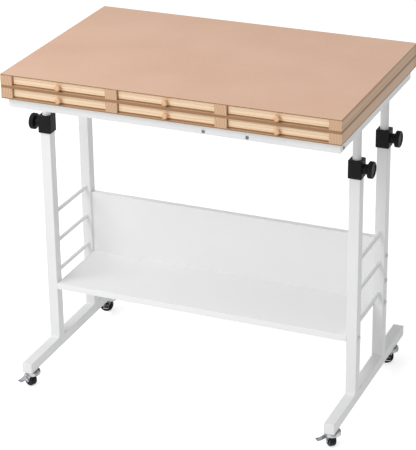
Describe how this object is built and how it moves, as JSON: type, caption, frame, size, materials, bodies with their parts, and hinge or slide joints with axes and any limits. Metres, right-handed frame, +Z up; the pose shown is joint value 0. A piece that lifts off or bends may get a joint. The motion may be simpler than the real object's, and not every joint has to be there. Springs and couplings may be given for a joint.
{
  "type": "rolling jigsaw puzzle table",
  "caption": "Rectangular puzzle board with stacked drawers on a height-adjustable white steel stand with clamp knobs, a shelf, a back panel and braked casters.",
  "frame": {"origin": "on the floor under the middle of the board, with the board at the pictured height", "axes": "+X to the right of a person at the drawers, +Y away from them, +Z up"},
  "size_m": [0.8062, 0.516, 0.7725],
  "materials": {
    "hardboard": "smooth matt hardboard",
    "pine": "planed pine",
    "white_steel": "powder coat",
    "white_board": "white melamine",
    "white_plastic": "moulded",
    "black_plastic": "moulded",
    "black_wheel": "smooth tread",
    "bright_steel": "bright plating",
    "zinc_screw": "zinc plated"
  },
  "bodies": {
    "stand": {"left_foot": "white_steel", "right_foot": "white_steel", "foot_end_caps": "white_plastic", "uprights": "white_steel", "side_rungs": "white_steel", "leg_collars": "black_plastic", "shelf": "white_board", "back_panel": "white_board", "shelf_bolts": "zinc_screw", "caster_stems": "bright_steel"},
    "tabletop": {"top_panel": "hardboard", "middle_panel": "hardboard", "bottom_panel": "hardboard", "upper_rails": "pine", "upper_back_rail": "pine", "lower_rails": "pine", "lower_back_rail": "pine", "front_apron": "white_steel", "rear_apron": "white_steel", "left_top_rail": "white_steel", "right_top_rail": "white_steel", "frame_screws": "zinc_screw", "board_screws": "zinc_screw", "inner_posts": "white_steel", "post_guides": "black_plastic"},
    "upper_left_drawer": {"upper_left_drawer_frame": "pine", "upper_left_drawer_bottom": "hardboard", "upper_left_drawer_pull": "pine"},
    "upper_middle_drawer": {"upper_middle_drawer_frame": "pine", "upper_middle_drawer_bottom": "hardboard", "upper_middle_drawer_pull": "pine"},
    "upper_right_drawer": {"upper_right_drawer_frame": "pine", "upper_right_drawer_bottom": "hardboard", "upper_right_drawer_pull": "pine"},
    "lower_left_drawer": {"lower_left_drawer_frame": "pine", "lower_left_drawer_bottom": "hardboard", "lower_left_drawer_pull": "pine"},
    "lower_middle_drawer": {"lower_middle_drawer_frame": "pine", "lower_middle_drawer_bottom": "hardboard", "lower_middle_drawer_pull": "pine"},
    "lower_right_drawer": {"lower_right_drawer_frame": "pine", "lower_right_drawer_bottom": "hardboard", "lower_right_drawer_pull": "pine"},
    "front_left_clamp": {"front_left_clamp_knob": "black_plastic"},
    "rear_left_clamp": {"rear_left_clamp_knob": "black_plastic"},
    "front_right_clamp": {"front_right_clamp_knob": "black_plastic"},
    "rear_right_clamp": {"rear_right_clamp_knob": "black_plastic"},
    "front_left_caster": {"front_left_fork": "bright_steel"},
    "front_left_caster_wheel": {"front_left_wheel": "black_wheel"},
    "front_left_caster_brake": {"front_left_brake": "bright_steel"},
    "rear_left_caster": {"rear_left_fork": "bright_steel"},
    "rear_left_caster_wheel": {"rear_left_wheel": "black_wheel"},
    "rear_left_caster_brake": {"rear_left_brake": "bright_steel"},
    "front_right_caster": {"front_right_fork": "bright_steel"},
    "front_right_caster_wheel": {"front_right_wheel": "black_wheel"},
    "front_right_caster_brake": {"front_right_brake": "bright_steel"},
    "rear_right_caster": {"rear_right_fork": "bright_steel"},
    "rear_right_caster_wheel": {"rear_right_wheel": "black_wheel"},
    "rear_right_caster_brake": {"rear_right_brake": "bright_steel"}
  },
  "joints": [
    {"name": "height_slide", "type": "slide", "parent": "stand", "child": "tabletop", "axis": [0, 0, 1], "range_m": [-0.06, 0.13]},
    {"name": "upper_left_drawer_slide", "type": "slide", "parent": "tabletop", "child": "upper_left_drawer", "axis": [0, -1, 0], "range_m": [0, 0.3]},
    {"name": "upper_middle_drawer_slide", "type": "slide", "parent": "tabletop", "child": "upper_middle_drawer", "axis": [0, -1, 0], "range_m": [0, 0.3]},
    {"name": "upper_right_drawer_slide", "type": "slide", "parent": "tabletop", "child": "upper_right_drawer", "axis": [0, -1, 0], "range_m": [0, 0.3]},
    {"name": "lower_left_drawer_slide", "type": "slide", "parent": "tabletop", "child": "lower_left_drawer", "axis": [0, -1, 0], "range_m": [0, 0.3]},
    {"name": "lower_middle_drawer_slide", "type": "slide", "parent": "tabletop", "child": "lower_middle_drawer", "axis": [0, -1, 0], "range_m": [0, 0.3]},
    {"name": "lower_right_drawer_slide", "type": "slide", "parent": "tabletop", "child": "lower_right_drawer", "axis": [0, -1, 0], "range_m": [0, 0.3]},
    {"name": "front_left_clamp_turn", "type": "hinge", "parent": "stand", "child": "front_left_clamp", "pos_m": [-0.365, -0.0935, 0.6045], "axis": [-1, 0, 0], "range_deg": [0, 360]},
    {"name": "rear_left_clamp_turn", "type": "hinge", "parent": "stand", "child": "rear_left_clamp", "pos_m": [-0.365, 0.0935, 0.6045], "axis": [-1, 0, 0], "range_deg": [0, 360]},
    {"name": "front_right_clamp_turn", "type": "hinge", "parent": "stand", "child": "front_right_clamp", "pos_m": [0.365, -0.0935, 0.6045], "axis": [1, 0, 0], "range_deg": [0, 360]},
    {"name": "rear_right_clamp_turn", "type": "hinge", "parent": "stand", "child": "rear_right_clamp", "pos_m": [0.365, 0.0935, 0.6045], "axis": [1, 0, 0], "range_deg": [0, 360]},
    {"name": "front_left_swivel", "type": "hinge", "parent": "stand", "child": "front_left_caster", "pos_m": [-0.365, -0.223, 0.042], "axis": [0, 0, 1], "continuous": true},
    {"name": "front_left_roll", "type": "hinge", "parent": "front_left_caster", "child": "front_left_caster_wheel", "pos_m": [-0.37316, -0.2192, 0.017], "axis": [-0.4226, -0.9063, 0], "continuous": true},
    {"name": "front_left_brake_lift", "type": "hinge", "parent": "front_left_caster", "child": "front_left_caster_brake", "pos_m": [-0.37037, -0.23451, 0.029], "axis": [-0.9063, 0.4226, 0], "range_deg": [0, 30]},
    {"name": "rear_left_swivel", "type": "hinge", "parent": "stand", "child": "rear_left_caster", "pos_m": [-0.365, 0.188, 0.042], "axis": [0, 0, 1], "continuous": true},
    {"name": "rear_left_roll", "type": "hinge", "parent": "rear_left_caster", "child": "rear_left_caster_wheel", "pos_m": [-0.37369, 0.18567, 0.017], "axis": [0.2588, -0.9659, 0], "continuous": true},
    {"name": "rear_left_brake_lift", "type": "hinge", "parent": "rear_left_caster", "child": "rear_left_caster_brake", "pos_m": [-0.36171, 0.17573, 0.029], "axis": [-0.9659, -0.2588, 0], "range_deg": [0, 30]},
    {"name": "front_right_swivel", "type": "hinge", "parent": "stand", "child": "front_right_caster", "pos_m": [0.365, -0.223, 0.042], "axis": [0, 0, 1], "continuous": true},
    {"name": "front_right_roll", "type": "hinge", "parent": "front_right_caster", "child": "front_right_caster_wheel", "pos_m": [0.35898, -0.21631, 0.017], "axis": [-0.7431, -0.6691, 0], "continuous": true},
    {"name": "front_right_brake_lift", "type": "hinge", "parent": "front_right_caster", "child": "front_right_caster_brake", "pos_m": [0.35556, -0.2315, 0.029], "axis": [-0.6691, 0.7431, 0], "range_deg": [0, 30]},
    {"name": "rear_right_swivel", "type": "hinge", "parent": "stand", "child": "rear_right_caster", "pos_m": [0.365, 0.188, 0.042], "axis": [0, 0, 1], "continuous": true},
    {"name": "rear_right_roll", "type": "hinge", "parent": "rear_right_caster", "child": "rear_right_caster_wheel", "pos_m": [0.35631, 0.18567, 0.017], "axis": [0.2588, -0.9659, 0], "continuous": true},
    {"name": "rear_right_brake_lift", "type": "hinge", "parent": "rear_right_caster", "child": "rear_right_caster_brake", "pos_m": [0.36829, 0.17573, 0.029], "axis": [-0.9659, -0.2588, 0], "range_deg": [0, 30]}
  ]
}
